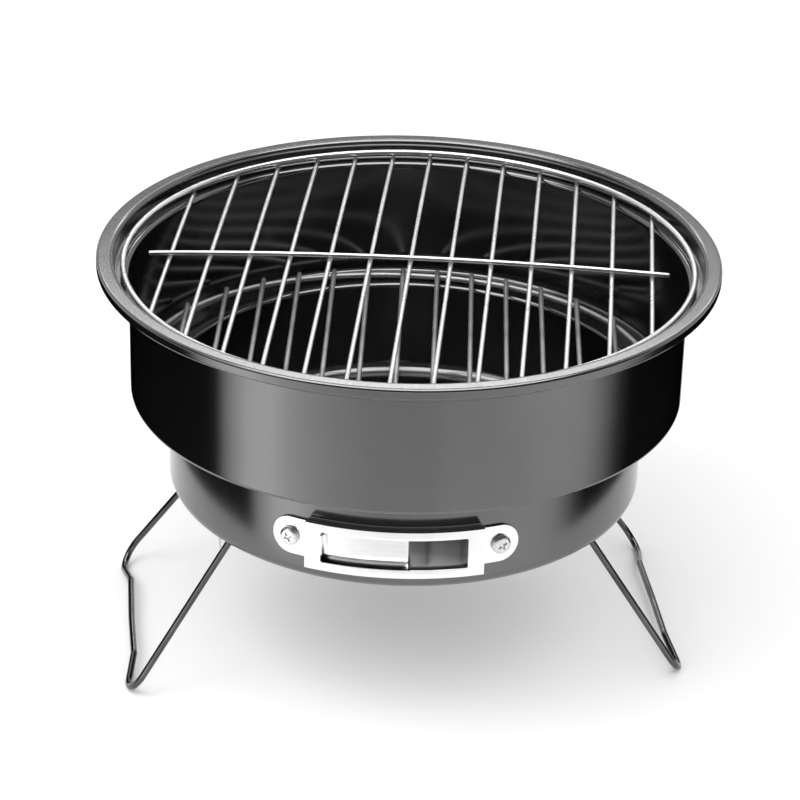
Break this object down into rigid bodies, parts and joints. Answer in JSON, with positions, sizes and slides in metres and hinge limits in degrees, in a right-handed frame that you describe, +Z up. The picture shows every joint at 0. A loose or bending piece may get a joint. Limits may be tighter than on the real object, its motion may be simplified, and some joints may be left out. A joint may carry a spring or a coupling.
{
  "type": "portable tabletop grill",
  "caption": "Round tabletop charcoal grill: stepped steel bowl, folding wire legs, sliding air vent, lift-out cooking grid and charcoal grate.",
  "frame": {"origin": "on the ground under the middle of the bowl", "axes": "+Z up; -Y is the front, where the air vent is; +X is to the right seen from the front"},
  "size_m": [0.27, 0.27, 0.1849],
  "materials": {
    "bowl_enamel": "dark grey gloss enamel on pressed steel",
    "vent_nickel": "bright nickel plate on pressed steel",
    "vent_shutter_chrome": "bright plate, polished",
    "screw_steel": "bright zinc plate",
    "zinc_plate": "dull zinc plate",
    "grid_chrome": "bright chrome plated wire",
    "grate_wire": "plain drawn steel wire",
    "leg_wire": "dark grey plated steel wire"
  },
  "bodies": {
    "bowl_body": {"bowl": "bowl_enamel", "vent_frame": "vent_nickel", "vent_screw_left": "screw_steel", "vent_screw_right": "screw_steel", "vent_nut_left": "zinc_plate", "vent_nut_right": "zinc_plate", "leg_bracket_left_front": "zinc_plate", "leg_bracket_left_rear": "zinc_plate", "leg_bracket_right_front": "zinc_plate", "leg_bracket_right_rear": "zinc_plate", "bracket_rivet_left_front": "zinc_plate", "bracket_rivet_left_rear": "zinc_plate", "bracket_rivet_right_front": "zinc_plate", "bracket_rivet_right_rear": "zinc_plate"},
    "shutter": {"vent_shutter": "vent_shutter_chrome"},
    "cooking_grid": {"cooking_grid_ring": "grid_chrome", "cooking_grid_bar_01": "grid_chrome", "cooking_grid_bar_02": "grid_chrome", "cooking_grid_bar_03": "grid_chrome", "cooking_grid_bar_04": "grid_chrome", "cooking_grid_bar_05": "grid_chrome", "cooking_grid_bar_06": "grid_chrome", "cooking_grid_bar_07": "grid_chrome", "cooking_grid_bar_08": "grid_chrome", "cooking_grid_bar_09": "grid_chrome", "cooking_grid_bar_10": "grid_chrome", "cooking_grid_bar_11": "grid_chrome", "cooking_grid_bar_12": "grid_chrome", "cooking_grid_bar_13": "grid_chrome", "cooking_grid_cross_wire": "grid_chrome"},
    "charcoal_grate": {"charcoal_grate_ring": "grate_wire", "charcoal_grate_bar_01": "grate_wire", "charcoal_grate_bar_02": "grate_wire", "charcoal_grate_bar_03": "grate_wire", "charcoal_grate_bar_04": "grate_wire", "charcoal_grate_bar_05": "grate_wire", "charcoal_grate_bar_06": "grate_wire", "charcoal_grate_bar_07": "grate_wire", "charcoal_grate_bar_08": "grate_wire", "charcoal_grate_bar_09": "grate_wire", "charcoal_grate_bar_10": "grate_wire", "charcoal_grate_bar_11": "grate_wire", "charcoal_grate_bar_12": "grate_wire", "charcoal_grate_bar_13": "grate_wire", "charcoal_grate_cross_wire": "grate_wire"},
    "left_leg_body": {"left_leg": "leg_wire"},
    "right_leg_body": {"right_leg": "leg_wire"}
  },
  "joints": [
    {"name": "shutter_slide", "type": "hinge", "parent": "bowl_body", "child": "shutter", "pos_m": [0, 0, 0.0961], "axis": [0, 0, 1], "range_deg": [0, 14.7]},
    {"name": "cooking_grid_lift", "type": "slide", "parent": "bowl_body", "child": "cooking_grid", "axis": [0, 0, 1], "range_m": [0, 0.06]},
    {"name": "charcoal_grate_lift", "type": "slide", "parent": "bowl_body", "child": "charcoal_grate", "axis": [0, 0, 1], "range_m": [0, 0.042]},
    {"name": "left_leg_fold", "type": "hinge", "parent": "bowl_body", "child": "left_leg_body", "pos_m": [-0.07642, -0.01078, 0.073], "axis": [0.1444, -0.9895, 0], "range_deg": [0, 124]},
    {"name": "right_leg_fold", "type": "hinge", "parent": "bowl_body", "child": "right_leg_body", "pos_m": [0.07142, 0.01078, 0.073], "axis": [-0.1444, 0.9895, 0], "range_deg": [0, 120.5]}
  ]
}
